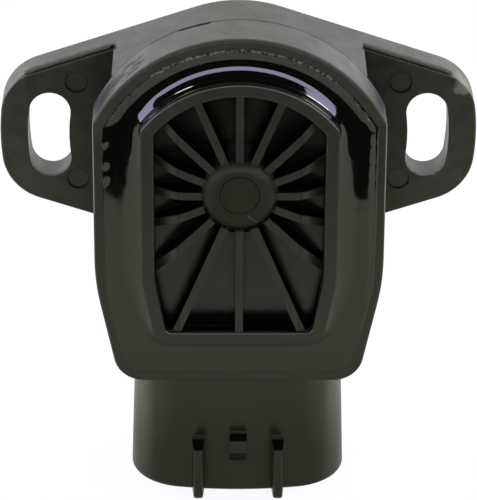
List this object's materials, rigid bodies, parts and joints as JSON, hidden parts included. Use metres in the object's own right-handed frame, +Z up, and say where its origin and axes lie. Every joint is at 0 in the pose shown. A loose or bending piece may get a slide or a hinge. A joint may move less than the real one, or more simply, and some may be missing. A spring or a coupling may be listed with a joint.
{
  "type": "throttle position sensor",
  "caption": "Black moulded rotary sensor with slotted ears on its flange, an arched drum sealed with resin round a ribbed cover, and a plug socket below.",
  "frame": {"origin": "on the rotor's axis, in the plane of the rear mounting face", "axes": "+Y out of the mounting face towards the throttle body, -Y towards the ribbed cover, +Z up with the plug socket pointing down, +X to the right seen from the cover"},
  "size_m": [0.0586, 0.0254, 0.0618],
  "materials": {
    "housing_plastic": "semi-gloss black glass-filled plastic",
    "cover_plastic": "satin black glass-filled plastic",
    "potting_resin": "black casting resin, glossy where it is thick",
    "card_laminate": "phenolic laminate",
    "carbon_track": "printed carbon film",
    "silver_track": "printed silver film",
    "terminal_brass": "tinned brass",
    "rotor_plastic": "natural moulded plastic",
    "steel": "plain steel",
    "contact_brass": "spring bronze",
    "spring_steel": "drawn spring wire",
    "bush_metal": "sintered bronze",
    "seal_rubber": "moulded rubber",
    "washer_plastic": "natural low-friction plastic"
  },
  "bodies": {
    "sensor_body": {"housing": "housing_plastic", "ribbed_cover": "cover_plastic", "potting_seal": "potting_resin", "resistor_board": "card_laminate", "resistor_track": "carbon_track", "collector_track": "silver_track", "idle_track": "silver_track", "ground_track": "silver_track", "supply_terminal": "terminal_brass", "signal_terminal": "terminal_brass", "idle_terminal": "terminal_brass", "ground_terminal": "terminal_brass", "return_spring": "spring_steel", "shaft_bush": "bush_metal", "shaft_seal": "seal_rubber", "thrust_washer": "washer_plastic", "o_ring": "seal_rubber"},
    "rotor_body": {"rotor": "rotor_plastic", "drive_insert": "steel", "output_wiper": "contact_brass", "idle_wiper": "contact_brass", "pivot_pin": "steel"}
  },
  "joints": [
    {"name": "rotor_turn", "type": "hinge", "parent": "sensor_body", "child": "rotor_body", "pos_m": [0, 0, 0], "axis": [0, -1, 0], "range_deg": [0, 100], "stiffness_Nm_per_rad": 0.01, "deforming": ["return_spring"]}
  ]
}
